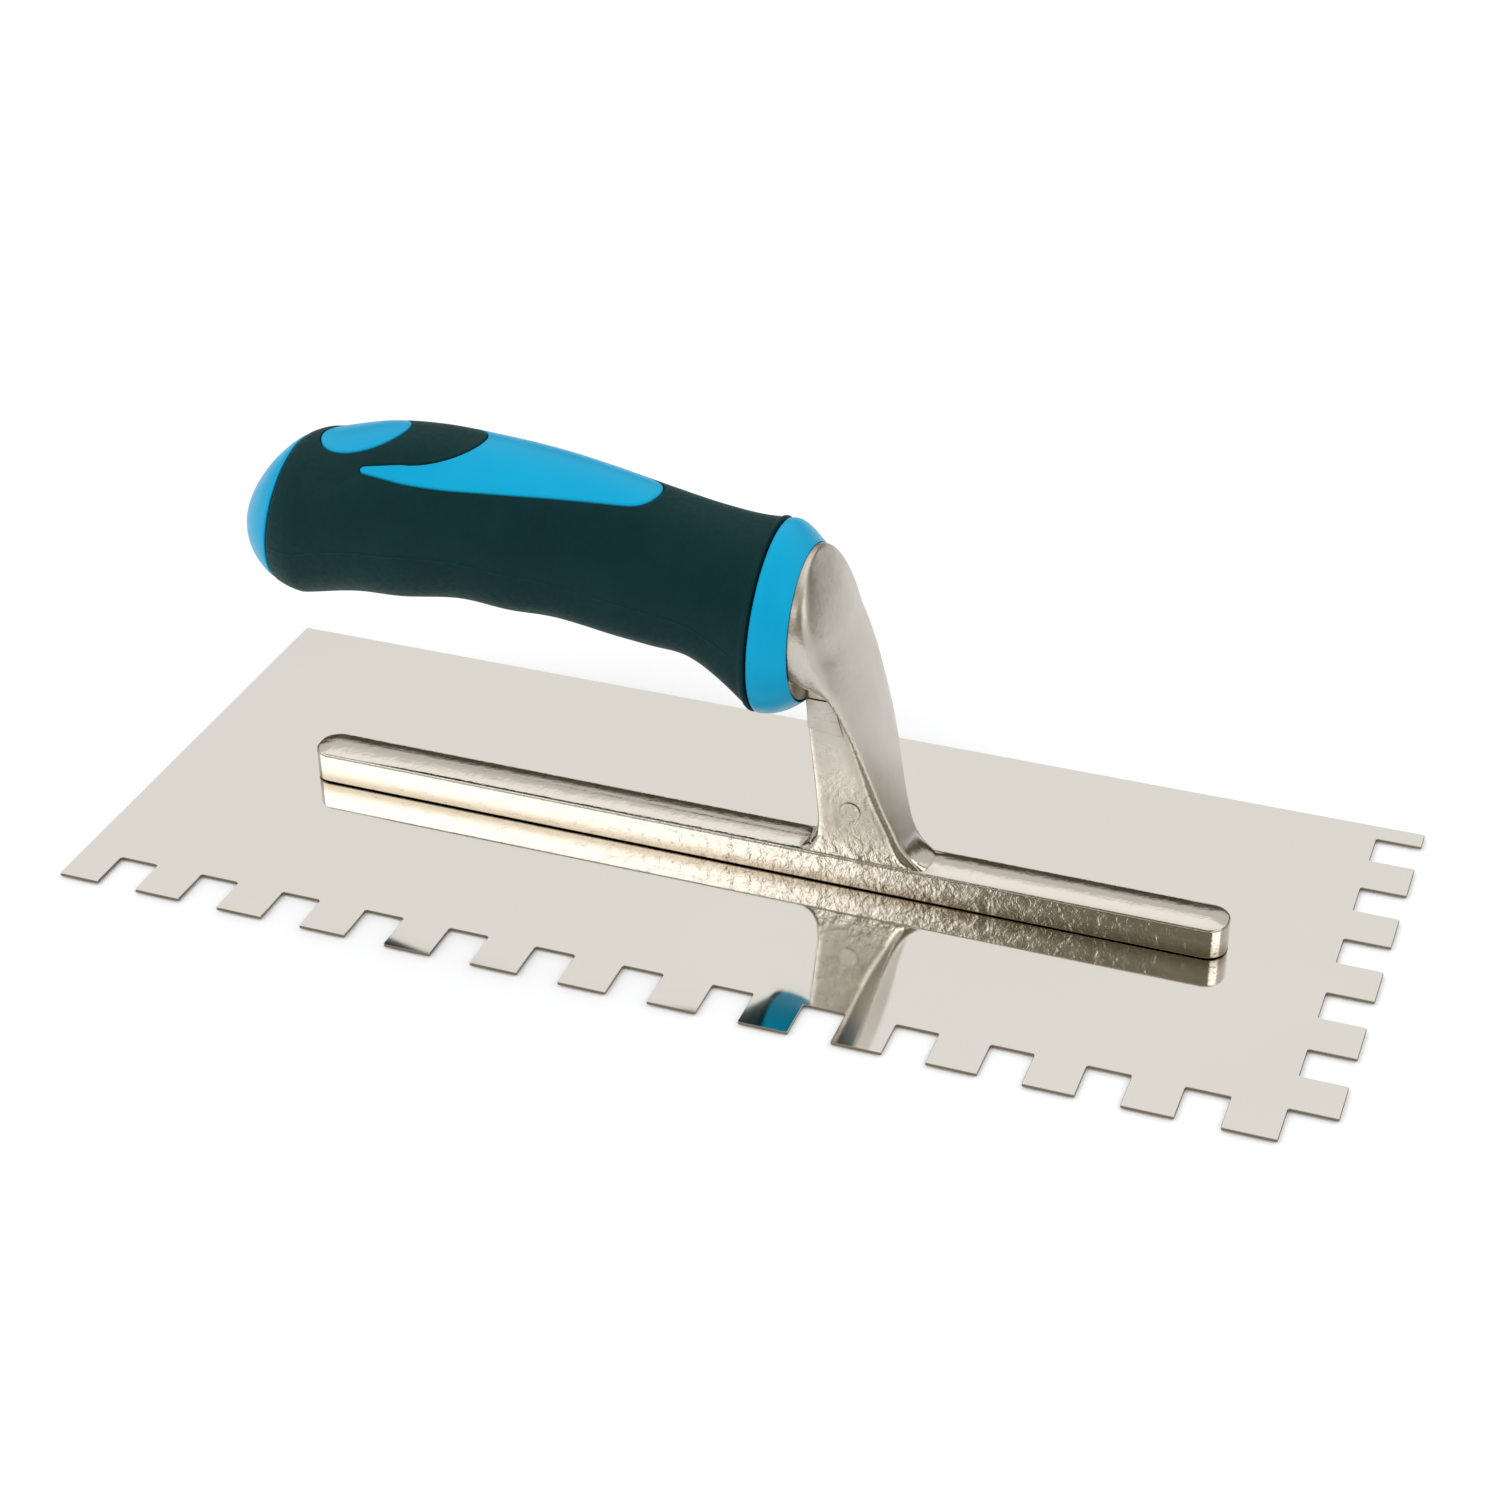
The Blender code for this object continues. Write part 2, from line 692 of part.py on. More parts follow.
def main():
    clear_scene()
    parts = new_collection("notched_trowel")
    cutters = new_collection("cutters")
    stainless = material("polished_stainless", (0.72, 0.71, 0.69), 0.12, 1.0)
    aluminium = material("cast_aluminium", (0.72, 0.68, 0.62), 0.35, 1.0)
    plated_steel = material("plated_steel", (0.60, 0.60, 0.60), 0.3, 1.0)
    blue = material("blue_plastic", (0.02, 0.36, 0.65), 0.35, 0.0)
    green = material("dark_green_rubber", (0.010, 0.035, 0.040), 0.6, 0.0)
    _, holes = make_rivets(parts, cutters, aluminium)
    make_blade(parts, holes, stainless)
    make_mount(parts, cutters, holes, aluminium)
    make_core(parts, cutters, blue)
    make_grip(parts, cutters, green)
    make_end_cap(parts, cutters, blue)
    make_screw(parts, cutters, plated_steel)
    make_washer(parts, cutters, plated_steel)


main()
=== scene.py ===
"""Looks of the notched trowel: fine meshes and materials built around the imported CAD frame.

Row frame: metres, +X along the blade towards the notched short edge, the notched long edge at -Y, +Z up.
Shape tables are in millimetres, and MM turns them into metres.
"""

import math

import bmesh
import bpy
import numpy as np
from mathutils import Matrix, Vector


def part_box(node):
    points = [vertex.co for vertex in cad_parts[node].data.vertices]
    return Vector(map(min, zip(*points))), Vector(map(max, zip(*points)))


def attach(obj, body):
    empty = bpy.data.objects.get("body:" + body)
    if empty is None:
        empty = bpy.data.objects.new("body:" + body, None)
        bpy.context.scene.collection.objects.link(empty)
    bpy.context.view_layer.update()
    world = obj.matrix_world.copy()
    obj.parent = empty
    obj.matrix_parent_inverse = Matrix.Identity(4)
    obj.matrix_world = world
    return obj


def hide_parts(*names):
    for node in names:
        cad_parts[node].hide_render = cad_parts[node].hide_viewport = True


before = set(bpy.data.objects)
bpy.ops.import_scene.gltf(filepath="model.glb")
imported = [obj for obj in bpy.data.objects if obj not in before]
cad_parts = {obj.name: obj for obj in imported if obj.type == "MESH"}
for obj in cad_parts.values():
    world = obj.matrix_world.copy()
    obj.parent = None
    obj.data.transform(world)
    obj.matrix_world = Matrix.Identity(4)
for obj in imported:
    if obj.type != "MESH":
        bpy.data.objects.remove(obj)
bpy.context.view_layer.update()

MM = 0.001
GAP = 0.3

# Blade: tooth layout in mm. Its outer size and thickness come from the CAD node.
TOOTH_PITCH = 20.0
NOTCH_DEPTH = 10.0
NOTCH_WIDTH = 9.2
FRONT_NOTCHES = 13
FRONT_FIRST_NOTCH = 9.5
SIDE_NOTCHES = 5
SIDE_FIRST_NOTCH = 20.7
CORNER_CUT = 10.1

# Handle side view: (x, height) along the top and the underside, and (x, half width) in plan.
TOP_LINE = [(-98, 88.5), (-86, 91.7), (-74, 92.97), (-60, 92.5), (-48, 91.6), (-34, 89.4), (-20, 86.8),
            (-8, 84.7), (1, 84.0), (6, 84.3)]
UNDER_LINE = [(-98, 50.4), (-84, 53.2), (-75, 53.6), (-59, 55.8), (-48, 55.0), (-39, 55.3), (-23, 53.1),
              (-17, 52.4), (-8, 51.4), (0, 46.2), (6, 40.7)]
HALF_WIDTH_LINE = [(-98, 17.3), (-85, 17.5), (-60, 16.8), (-35, 16.1), (-14, 15.5), (-4, 16.0), (6, 17.7)]
# Lean of the cross-sections: x shift per mm of height above the section's centre.
LEAN_LINE = [(-98, 0.15), (-14, 0.14), (6, 0.07), (14.5, 0.0)]
TAIL_CENTRE_X = -98.0
TAIL_LENGTH = 18.2
TAIL_POWER = 1.7
TAIL_TIP_Z = 66.5
SEAM_X = -104.6
COLLAR_X = 6.0
GRIP_WALL = 2.6
# Neck of the grip behind the collar: centre height, half height, half width.
GRIP_NECK = (63.9, 17.3, 13.3)
PARTING_TURN = math.radians(-8.0)
PARTING_HEIGHT = 0.11

# Collar: (x, centre height, half height, half width) along its outside, then into its mouth.
COLLAR_PROFILE = [(6.3, 62.5, 21.0, 17.0), (6.33, 62.52, 21.4, 17.4), (6.6, 62.55, 21.72, 17.68),
                  (7.2, 62.6, 21.8, 17.8), (8.6, 62.7, 21.6, 17.8), (9.6, 62.65, 21.25, 17.65),
                  (10.6, 62.6, 20.7, 17.4), (11.7, 62.55, 19.95, 17.1), (12.8, 62.5, 19.0, 16.7),
                  (13.7, 62.5, 18.15, 16.32), (14.3, 62.5, 17.55, 16.05), (14.5, 62.5, 17.35, 15.9),
                  (14.46, 62.5, 17.28, 15.82), (14.2, 62.5, 17.22, 15.76), (10.5, 62.5, 17.2, 15.74)]

# Islands: plan sizes, and (outward growth, depth under the handle's surface) along the walls.
OVAL_CENTRE_X = -86.2
OVAL_HALF_LENGTH = 10.2
OVAL_HALF_WIDTH = 7.8
ISLAND_STEPS = [(0.0, 0.3), (-0.03, 0.16), (-0.08, 0.07), (-0.15, 0.04), (-0.23, 0.03), (-0.28, -0.3)]
WINDOW_STEPS = [(0.22, 0.34), (0.25, 0.2), (0.32, 0.09), (0.42, 0.03), (0.55, 0.0), (0.62, -0.4)]
OVAL_FLOOR_Z = 83.0
SWALLOW_TAIL_FLOOR_Z = 81.0
WINDOW_FLOOR_Z = 78.0
ISLAND_TOP_Z = 100.0

# Bar of the casting: plan, height of its upright side, and its crown as a curve over the run inwards.
BAR_HALF_WIDTH = 5.0
BAR_CORNER = 4.4
BAR_SIDE = 6.9
SHOULDER_IN = 0.5
SHOULDER_UP = 0.4
CROWN_SLOPE = 0.268
CROWN_BEND = 0.024

# Shank flange in level slices: (height, x of its side edge), (height, x of its front),
# (height, half width).
FLANGE_EDGE = [(6.9, 39.0), (12.1, 36.2), (17.5, 34.5), (24.3, 32.6), (34.5, 29.9), (45.8, 26.3),
               (54.2, 22.5), (58.8, 19.1), (62.0, 17.0), (66, 16.2), (72.0, 15.7), (79.6, 15.2)]
FLANGE_FRONT = [(6.9, 45.5), (8.9, 43.0), (10.2, 40.6), (12.4, 38.2), (15.0, 36.8), (18.5, 35.8),
                (24.6, 34.2), (35, 32.1), (46.5, 29.0), (55.4, 25.8), (61.2, 23.7), (66.4, 21.9), (71, 20.0),
                (75, 18.0), (78, 16.4), (79.6, 15.6)]
FLANGE_HALF_WIDTH = [(6.9, 4.3), (12.1, 5.1), (17.5, 6.1), (24.3, 7.9), (34.5, 10.5), (45.8, 12.7),
                     (54.2, 14.6), (58.8, 15.4), (62.5, 15.7)]
DOME_CENTRE = 62.5
DOME_HALF_HEIGHT = 17.2
DOME_HALF_WIDTH = 15.7
MOUTH_X = 11.0
FLANGE_FOOT_Z = 6.9
RIM = 0.9
# Heights over which the flange's back swells to the mouth, its front turns fuller, and its foot flattens.
SWELL_FROM_TO = (49.5, 56.5)
FULLER_FROM_TO = (48.0, 60.0)
FOOT_FROM_TO = (22.0, 12.0)

# Web between bar and flange: side view (x, height), and (inset, y) across half of its thickness.
WEB_OUTLINE = [(45.3, 6.0), (41.6, 8.4), (38.9, 10.4), (37.2, 13.6), (35.2, 18.0), (31.2, 30.0), (22.5, 50.0),
               (15.0, 50.0), (14.1, 47.4), (14.4, 43.0), (17.4, 17.0), (17.1, 12.4), (15.9, 9.9), (13.4, 8.4),
               (9.8, 6.0)]
WEB_HALF = 4.2
VOXEL = 0.4

# Colours are linear RGB.
SHEET_DARK = (0.80, 0.78, 0.745, 1)
SHEET_LIGHT = (0.845, 0.83, 0.80, 1)
# Dark brown painted shade for the sheet's upright edge faces.
SHEET_EDGE_SHADE = (0.20, 0.165, 0.11, 1)
CASTING_DARK = (0.84, 0.82, 0.78, 1)
CASTING_LIGHT = (0.90, 0.885, 0.85, 1)
# Dark brown tone: in part the casting's own tint everywhere, and painted shade where it deepens in hollows
# and inside corners.
CASTING_TINT_AND_SHADE = (0.30, 0.255, 0.19, 1)
BLUE_DARK = (0.001, 0.290, 0.520, 1)
BLUE_LIGHT = (0.004, 0.335, 0.560, 1)
GREEN_DARK = (0.0022, 0.0150, 0.0170, 1)
GREEN_LIGHT = (0.0038, 0.0210, 0.0235, 1)

# Share of the dark brown tone that the casting has everywhere as its own tint, before painted shade in its
# hollows adds more.
CASTING_TINT_SHARE = 0.55

# Surroundings seen in reflections: (sine of the elevation, colour).
HORIZON = (0.10, 0.085, 0.055)
BAND = (2.9, 2.86, 2.8)
HIGH = (0.40, 0.37, 0.31)
OVERHEAD = (1.3, 1.3, 1.3)
BACK_WALL = [(0.0, (0.09, 0.075, 0.045)), (0.28, (0.09, 0.075, 0.045)), (0.42, (0.80, 0.78, 0.745)),
             (0.52, (0.86, 0.84, 0.80)), (0.68, (0.88, 0.86, 0.825)), (0.80, (1.5, 1.48, 1.45)),
             (1.0, OVERHEAD)]
FRONT_LEFT_WALL = [(0.0, HORIZON), (0.03, HORIZON), (0.09, (0.84, 0.82, 0.785)), (0.40, (0.86, 0.84, 0.80)),
                   (0.47, BAND), (0.60, BAND), (0.65, (0.20, 0.17, 0.11)), (0.86, HIGH), (0.95, OVERHEAD)]
FRONT_RIGHT_WALL = [(0.0, HORIZON), (0.10, (0.30, 0.27, 0.19)), (0.45, (0.24, 0.21, 0.14)), (0.86, HIGH),
                    (0.95, OVERHEAD)]
LEFT_RIGHT_SLANT = -0.33
PLAIN_LIGHT = 1.08

# Camera: place in mm, direction in degrees, lens in mm and sideways lens shift.
CAMERA_PLACE = (184.0, -485.9, 355.8)
CAMERA_AZIMUTH = 19.5
CAMERA_ELEVATION = 32.26
CAMERA_LENS = 68.1
CAMERA_SHIFT = -0.0333
FLOOR_DROP = 0.0004


# ---------------------------------------------------------------- mesh helpers


def link_object(name, mesh):
    obj = bpy.data.objects.new(name, mesh)
    bpy.context.scene.collection.objects.link(obj)
    return obj


def add_mesh(name, verts, faces):
    mesh = bpy.data.meshes.new(name)
    mesh.from_pydata([tuple(v) for v in verts], [], faces)
    bm = bmesh.new()
    bm.from_mesh(mesh)
    bmesh.ops.recalc_face_normals(bm, faces=bm.faces)
    bm.to_mesh(mesh)
    bm.free()
    mesh.shade_smooth()
    return link_object(name, mesh)


def add_cone(name, place, lower_radius, upper_radius, depth):
    """A short cone or disc in metres, on its own z axis, put in place."""
    bm = bmesh.new()
    bmesh.ops.create_cone(bm, cap_ends=True, segments=48, radius1=lower_radius, radius2=upper_radius,
                          depth=depth, matrix=place)
    mesh = bpy.data.meshes.new(name)
    bm.to_mesh(mesh)
    bm.free()
    return link_object(name, mesh)


def loft(name, rings, closed_loop=False):
    """Rings of equal length (mm) joined into a closed mesh, capped at both ends or end to start."""
    rings = np.array(rings, float)
    count = rings.shape[1]
    verts = rings.reshape(-1, 3) * MM
    faces = []
    last = len(rings) if closed_loop else len(rings) - 1
    for r in range(last):
        a = r * count
        b = ((r + 1) % len(rings)) * count
        for i in range(count):
            j = (i + 1) % count
            faces.append((a + i, a + j, b + j, b + i))
    if not closed_loop:
        faces.append(tuple(range(count)))
        end = (len(rings) - 1) * count
        faces.append(tuple(range(end, end + count)))
    return add_mesh(name, verts, faces)


def apply_modifiers(obj):
    graph = bpy.context.evaluated_depsgraph_get()
    mesh = bpy.data.meshes.new_from_object(obj.evaluated_get(graph))
    obj.modifiers.clear()
    old = obj.data
    obj.data = mesh
    bpy.data.meshes.remove(old)


def cut(obj, other, operation="DIFFERENCE"):
    """Booleans other into obj and removes it."""
    modifier = obj.modifiers.new("cut", "BOOLEAN")
    modifier.operation = operation
    modifier.solver = "EXACT"
    modifier.object = other
    bpy.context.view_layer.update()
    apply_modifiers(obj)
    bpy.data.objects.remove(other)


def merge(obj, other):
    """Adds other's mesh to obj's and removes other."""
    bm = bmesh.new()
    bm.from_mesh(obj.data)
    bm.from_mesh(other.data)
    bm.to_mesh(obj.data)
    bm.free()
    bpy.data.objects.remove(other)


def soften(obj, angle=40.0):
    """Smooth shading that keeps real corners, with normals led by the large faces."""
    obj.data.shade_smooth()
    obj.data.set_sharp_from_angle(angle=math.radians(angle))
    weighted = obj.modifiers.new("weighted", "WEIGHTED_NORMAL")
    weighted.keep_sharp = True
    weighted.weight = 80
    apply_modifiers(obj)


def ramp(value, start, end):
    """0 at start, 1 at end, and held outside them."""
    return min(max((value - start) / (end - start), 0.0), 1.0)


def along(line, x):
    """Value at x of a smooth curve through the points of line, held beyond its ends."""
    xs = np.array([point[0] for point in line], float)
    ys = np.array([point[1] for point in line], float)
    slopes = np.gradient(ys, xs)
    x = float(np.clip(x, xs[0], xs[-1]))
    i = min(max(int(np.searchsorted(xs, x)) - 1, 0), len(xs) - 2)
    span = xs[i + 1] - xs[i]
    t = (x - xs[i]) / span
    start = (1 + 2 * t) * (1 - t) ** 2 * ys[i] + t * (1 - t) ** 2 * span * slopes[i]
    end = t * t * (3 - 2 * t) * ys[i + 1] + t * t * (t - 1) * span * slopes[i + 1]
    return start + end


# ---------------------------------------------------------------- handle shape


def handle_section(x):
    """(centre height, half height, half width) of the handle at x."""
    at = max(x, TAIL_CENTRE_X)
    top = along(TOP_LINE, at)
    under = along(UNDER_LINE, at)
    centre = (top + under) / 2
    half_height = (top - under) / 2
    half_width = along(HALF_WIDTH_LINE, at)
    if x < TAIL_CENTRE_X:
        share = min((TAIL_CENTRE_X - x) / TAIL_LENGTH, 1.0)
        size = (1 - share**TAIL_POWER) ** (1 / TAIL_POWER)
        centre += (TAIL_TIP_Z - centre) * share**2
        half_height *= size
        half_width *= size
    return centre, half_height, half_width


def oval(x, centre, half_height, half_width, turns):
    up = half_height * np.sin(turns)
    return np.stack([x + along(LEAN_LINE, x) * up, half_width * np.cos(turns), centre + up], axis=1)


def handle_ring(x, inset, turns):
    centre, half_height, half_width = handle_section(x)
    return oval(x, centre, half_height - inset, half_width - inset, turns)


def surface_height(x, y):
    """Height of the handle's upper surface over the plan point (x, y)."""
    station = x
    up = 0.0
    for _ in range(12):
        centre, half_height, half_width = handle_section(station)
        up = half_height * math.sqrt(max(1 - (y / half_width) ** 2, 0.0))
        station = x - along(LEAN_LINE, station) * up
    return centre + up


def even_turns(count):
    return np.linspace(0, 2 * math.pi, count, endpoint=False)


def grip_turns():
    """Angles round the grip, closer together at the two mould parting lines."""
    turns = list(even_turns(120))
    for middle in (PARTING_TURN, math.pi - PARTING_TURN):
        near = [t for t in turns if abs(math.remainder(t - middle, 2 * math.pi)) < math.radians(2.2)]
        turns = [t for t in turns if t not in near]
        steps = (-2.0, -1.1, -0.55, 0.0, 0.55, 1.1, 2.0)
        turns += [(middle + math.radians(step)) % (2 * math.pi) for step in steps]
    return np.array(sorted(turns))


def grip_piece():
    """The rubber: its outside with fine parting lines, a rounded lip, and the inside of its wall."""
    turns = grip_turns()
    parting = np.zeros(len(turns))
    for middle in (PARTING_TURN, math.pi - PARTING_TURN):
        away = np.array([math.degrees(math.remainder(t - middle, 2 * math.pi)) for t in turns])
        parting = np.maximum(parting, np.exp(-((away / 0.6) ** 2)))
    rear = SEAM_X + GAP / 2
    front = COLLAR_X - GAP / 2
    rings = []
    edge = [(0.0, 0.75), (0.06, 0.42), (0.2, 0.18), (0.42, 0.05), (0.8, 0.0)]
    for step, inset in edge:
        rings.append(handle_ring(rear + step, inset, turns))
    for x in np.linspace(rear + 1.6, front - 3.2, 92):
        line = PARTING_HEIGHT * parting[:, None]
        ring = handle_ring(x, 0.0, turns)
        centre = np.array([x, 0.0, handle_section(x)[0]])
        outward = ring - centre
        outward /= np.linalg.norm(outward, axis=1)[:, None]
        rings.append(ring + outward * line)
    lip = [(2.4, 0.0), (1.7, 0.02), (1.35, -0.05), (1.0, -0.28), (0.6, -0.34), (0.25, -0.2), (0.05, 0.1),
           (0.0, 0.5)]
    for step, inset in lip:
        rings.append(handle_ring(front - step, inset, turns))
    neck_centre, neck_height, neck_width = GRIP_NECK
    rings.append(oval(front, neck_centre, neck_height, neck_width, turns))
    rings.append(oval(2.8, neck_centre, neck_height, neck_width, turns))
    for x in np.linspace(1.8, rear, 26):
        rings.append(handle_ring(x, GRIP_WALL, turns))
    return loft("grip_rubber", rings, closed_loop=True)


def core_piece():
    """The blue core: its hidden body, the neck in the grip, the collar and the mouth that takes the shank."""
    turns = even_turns(128)
    rings = []
    for x in np.linspace(-104.0, 2.0, 36):
        rings.append(handle_ring(x, GRIP_WALL + GAP, turns))
    neck_centre, neck_height, neck_width = GRIP_NECK
    for x in (3.0, COLLAR_PROFILE[0][0]):
        rings.append(oval(x, neck_centre, neck_height - GAP, neck_width - GAP, turns))
    for x, centre, half_height, half_width in COLLAR_PROFILE:
        rings.append(oval(x, centre, half_height, half_width, turns))
    return loft("handle_core_moulding", rings)


def cap_piece():
    turns = even_turns(128)
    front = SEAM_X - GAP / 2
    rings = []
    seam_angle = math.asin((TAIL_CENTRE_X - front + 0.9) / TAIL_LENGTH)
    for angle in np.linspace(math.asin(0.9995), seam_angle, 44):
        rings.append(handle_ring(TAIL_CENTRE_X - math.sin(angle) * TAIL_LENGTH, 0.0, turns))
    for step, inset in [(0.42, 0.05), (0.2, 0.18), (0.06, 0.42), (0.0, 0.8)]:
        rings.append(handle_ring(front - step, inset, turns))
    rings.append(handle_ring(front, 2.4, turns))
    for x in (front - 1.0, front - 4.0, front - 7.0):
        rings.append(handle_ring(x, 2.6, turns))
    return loft("rear_cap", rings)


# ---------------------------------------------------------------- islands and windows


def smooth_closed(points, count):
    """A closed smooth curve through points, resampled evenly by length, anticlockwise."""
    points = np.array(points, float)
    turned = []
    size = len(points)
    for i in range(size):
        p0, p1, p2, p3 = (points[(i + k) % size] for k in (-1, 0, 1, 2))
        for t in np.linspace(0, 1, 16, endpoint=False):
            turned.append(0.5 * (2 * p1 + (p2 - p0) * t + (2 * p0 - 5 * p1 + 4 * p2 - p3) * t**2
                                 + (3 * p1 - p0 - 3 * p2 + p3) * t**3))
    return resample(np.array(turned), count)


def resample(curve, count):
    """A closed curve's points at even lengths."""
    closed = np.vstack([curve, curve[:1]])
    run = np.concatenate([[0], np.cumsum(np.linalg.norm(np.diff(closed, axis=0), axis=1))])
    at = np.linspace(0, run[-1], count, endpoint=False)
    return np.stack([np.interp(at, run, closed[:, k]) for k in range(2)], axis=1)


def oval_island_outline():
    turns = even_turns(96)
    along_x = OVAL_CENTRE_X + OVAL_HALF_LENGTH * np.cos(turns)
    return np.stack([along_x, OVAL_HALF_WIDTH * np.sin(turns)], axis=1)


def swallow_tail_outline():
    """Two rear points round a half-oval bay, sides drawn in to a round nose."""
    side = [(-18.7, 0.0), (-19.1, 2.3), (-20.4, 4.5), (-23.2, 6.2), (-30.0, 7.9), (-40.0, 9.85),
            (-50.0, 11.3), (-62.0, 12.5), (-71.0, 12.75), (-77.5, 12.3), (-80.6, 11.95), (-81.8, 11.75),
            (-82.25, 11.35)]
    turns = np.linspace(math.pi / 2, 0, 12)
    bay = [(-73.4 + 15.2 * math.cos(turn), 10.1 * math.sin(turn)) for turn in turns]
    half = side + [(-81.9, 10.95), (-80.6, 10.8), (-77.5, 10.55)] + bay
    mirrored = [(x, -y) for x, y in half[-2:0:-1]]
    return smooth_closed(half + mirrored, 300)


def grown(outline, grow):
    """The outline moved outwards by grow, square to its local direction."""
    ahead = np.roll(outline, -1, axis=0) - np.roll(outline, 1, axis=0)
    normal = np.stack([ahead[:, 1], -ahead[:, 0]], axis=1)
    normal /= np.linalg.norm(normal, axis=1)[:, None]
    return outline + normal * grow


def flared_prism(name, outline, steps, low, high):
    """A prism on a plan outline whose wall follows (grow, depth under the handle's surface) steps."""
    rings = []
    first = grown(outline, steps[0][0])
    rings.append(np.column_stack([first, np.full(len(first), low)]))
    for grow, depth in steps:
        ring = grown(outline, grow)
        heights = [surface_height(x, y) - depth for x, y in ring]
        rings.append(np.column_stack([ring, heights]))
    last = grown(outline, steps[-1][0])
    rings.append(np.column_stack([last, np.full(len(last), high)]))
    return loft(name, rings)


def island_piece(name, outline, low):
    """The handle's outer skin inside a plan outline, down to the height low, with a rounded edge."""
    turns = even_turns(128)
    body = loft(name, [handle_ring(x, -0.03, turns) for x in np.linspace(-102.0, -8.0, 84)])
    cut(body, flared_prism("prism", outline, ISLAND_STEPS, low, ISLAND_TOP_Z), "INTERSECT")
    soften(body)
    return body


def cut_window(grip, outline):
    cut(grip, flared_prism("window", outline, WINDOW_STEPS, WINDOW_FLOOR_Z, ISLAND_TOP_Z))


# ---------------------------------------------------------------- blade


def blade_outline(left, right, front, back):
    points = [(left, front)]
    for i in range(FRONT_NOTCHES):
        x = left + FRONT_FIRST_NOTCH + i * TOOTH_PITCH
        deep = front + NOTCH_DEPTH
        points += [(x, front), (x, deep), (x + NOTCH_WIDTH, deep), (x + NOTCH_WIDTH, front)]
    cut_x = right - CORNER_CUT
    points += [(cut_x, front), (cut_x, front + CORNER_CUT), (right, front + CORNER_CUT)]
    for i in range(SIDE_NOTCHES):
        y = front + SIDE_FIRST_NOTCH + i * TOOTH_PITCH
        deep = right - NOTCH_DEPTH
        points += [(right, y), (deep, y), (deep, y + NOTCH_WIDTH), (right, y + NOTCH_WIDTH)]
    return points + [(right, back), (left, back)]


def rounded(points, radius, steps=4):
    """Rounds each corner of an outline with a small arc."""
    out = []
    size = len(points)
    for i in range(size):
        here = Vector(points[i])
        before = (Vector(points[i - 1]) - here).normalized()
        after = (Vector(points[(i + 1) % size]) - here).normalized()
        for k in range(steps + 1):
            t = k / steps
            out.append(here + before * radius * (1 - t) ** 2 + after * radius * t**2)
    return np.array([tuple(p) for p in out])


def blade_piece():
    """The notched sheet with lightly broken edges and a tapered hole over each rivet."""
    low, high = (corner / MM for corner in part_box("blade"))
    outline = rounded(blade_outline(low.x, high.x, low.y, high.y), 0.45)
    rings = []
    for inset, z in [(0.09, low.z), (0.0, low.z + 0.08), (0.0, high.z - 0.08), (0.09, high.z)]:
        ring = grown(outline, -inset)
        rings.append(np.column_stack([ring, np.full(len(ring), z)]))
    blade = loft("blade_sheet", rings)
    for i in range(1, 8):
        rivet_low, rivet_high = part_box(f"rivet_{i}")
        middle = (rivet_low + rivet_high) / 2
        radius = (rivet_high.x - rivet_low.x) / 2 + 0.0001
        place = Matrix.Translation((middle.x, middle.y, 0.0))
        cut(blade, add_cone("hole", place, radius + 0.0005, radius - 0.001, 0.003))
    blade.data.shade_smooth()
    blade.data.set_sharp_from_angle(angle=math.radians(25))
    return blade


# ---------------------------------------------------------------- cast mount


def bar_piece():
    """The bar: upright sides, a small radius along the edge and a low crown, in many short lengths."""
    bar_low, bar_high = (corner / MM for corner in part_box("mount_casting"))
    middle_x = (bar_low.x + bar_high.x) / 2
    half_length = (bar_high.x - bar_low.x) / 2
    base = bar_low.z
    side_top = base + BAR_SIDE
    profile = [(0.14, base), (0.04, base + 0.04), (0.0, base + 0.15), (0.0, base + 0.25),
               (0.0, side_top - 0.4), (0.0, side_top - 0.3), (0.03, side_top - 0.1),
               (0.12, side_top + 0.14), (0.28, side_top + 0.3), (SHOULDER_IN, side_top + SHOULDER_UP)]
    for run in np.linspace(0.4, 3.8, 9):
        height = side_top + SHOULDER_UP + CROWN_SLOPE * run - CROWN_BEND * run * run
        profile.append((SHOULDER_IN + run, height))
    rings = []
    lengths = np.linspace(0, 1, 70, endpoint=False)
    for inset, z in profile:
        radius = BAR_CORNER - inset
        run = half_length - BAR_CORNER
        ring = []
        for turn, (sx, sy) in enumerate([(1, 1), (-1, 1), (-1, -1), (1, -1)]):
            for i in range(13):
                angle = (turn + i / 12) * math.pi / 2
                ring.append((middle_x + sx * run + radius * math.cos(angle),
                             sy * (BAR_HALF_WIDTH - BAR_CORNER) + radius * math.sin(angle), z))
            if turn in (0, 2):
                start = ring[-1]
                for t in lengths[1:]:
                    ring.append((start[0] - sx * 2 * run * t, start[1], z))
        rings.append(ring)
    return loft("cast_mount", rings)


def flange_slice(z):
    """Level ring of the flange: crowned front, thin rounded edges, back that swells to web or mouth."""
    edge = along(FLANGE_EDGE, z)
    front = along(FLANGE_FRONT, z)
    half_width = along(FLANGE_HALF_WIDTH, z)
    if z > DOME_CENTRE:
        half_width = DOME_HALF_WIDTH * math.sqrt(1 - ((z - DOME_CENTRE) / DOME_HALF_HEIGHT) ** 2)
    wall = ramp(z, *SWELL_FROM_TO)
    wall = wall * wall * (3 - 2 * wall)
    back = max(MOUTH_X, edge - 5.0 - 8.0 * wall)
    power = 2.0 + (0.2 - 2.0) * wall
    foot = ramp(z, *FOOT_FROM_TO)
    fullness = ramp(z, *FULLER_FROM_TO)
    crown = 0.58 - 0.24 * fullness * fullness * (3 - 2 * fullness) - 0.3 * foot
    points = []
    for turn in np.linspace(0, math.pi, 57):
        u = math.cos(turn)
        points.append((edge + (front - edge) * max(1 - u * u, 0.0) ** crown, u * half_width, z))
    for turn in np.linspace(math.pi, 2 * math.pi, 57)[1:-1]:
        u = math.cos(turn)
        thin = RIM * (1 - u * u) ** 0.25
        points.append((edge - thin - (edge - RIM - back) * (1 - u * u) ** power, u * half_width, z))
    return points


